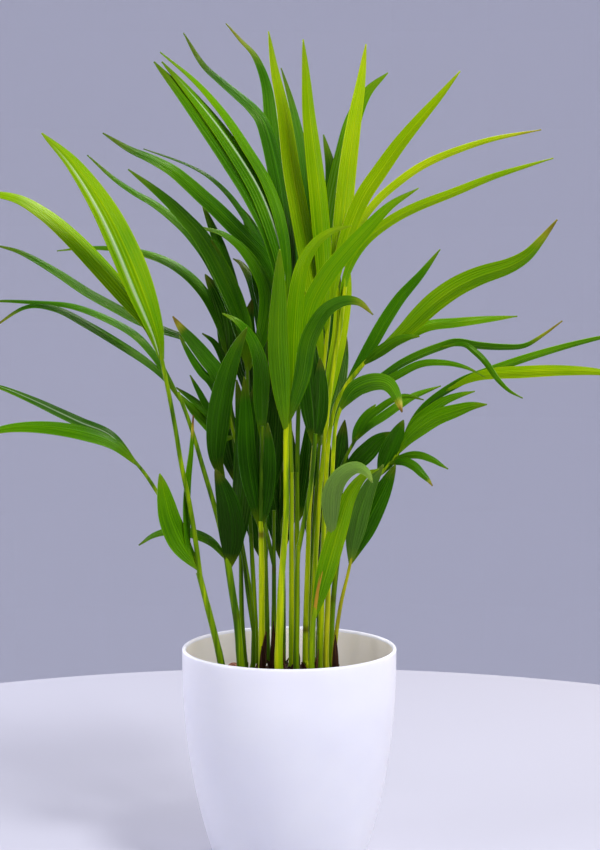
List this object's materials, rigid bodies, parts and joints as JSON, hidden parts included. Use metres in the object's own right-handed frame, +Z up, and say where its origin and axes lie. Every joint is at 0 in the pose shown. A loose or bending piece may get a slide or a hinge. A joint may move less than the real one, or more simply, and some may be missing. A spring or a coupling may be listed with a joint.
{
  "type": "potted areca palm",
  "caption": "Young clump of areca palm seedlings with long arching leaf lobes, rooted in dark medium in a black nursery pot that stands in a plain tapered white cover pot.",
  "frame": {"origin": "middle of the cover pot's flat underside", "axes": "+Z up along the pot's axis, -Y towards the front that faced the camera, +X to the front view's right"},
  "size_m": [0.4371, 0.2469, 0.5536],
  "materials": {
    "white_plastic": "smooth moulded, soft gloss",
    "black_plastic": "thin vacuum-formed, dull",
    "medium": "dark, fibrous and damp",
    "leaf": "ribbed living leaf, waxy sheen"
  },
  "bodies": {
    "root": {"cover_pot": "white_plastic", "nursery_pot": "black_plastic", "growing_medium": "medium", "leafy_stem_01": "leaf", "leafy_stem_02": "leaf", "leafy_stem_03": "leaf", "leafy_stem_04": "leaf", "leafy_stem_05": "leaf", "leafy_stem_06": "leaf", "leafy_stem_07": "leaf", "leafy_stem_08": "leaf", "leafy_stem_09": "leaf", "leafy_stem_10": "leaf", "leafy_stem_11": "leaf", "leafy_stem_12": "leaf", "leafy_stem_13": "leaf", "leafy_stem_14": "leaf", "leafy_stem_15": "leaf", "leafy_stem_16": "leaf", "leafy_stem_17": "leaf", "leafy_stem_18": "leaf", "leafy_stem_19": "leaf", "leafy_stem_20": "leaf", "leafy_stem_21": "leaf", "leafy_stem_22": "leaf"}
  },
  "joints": []
}
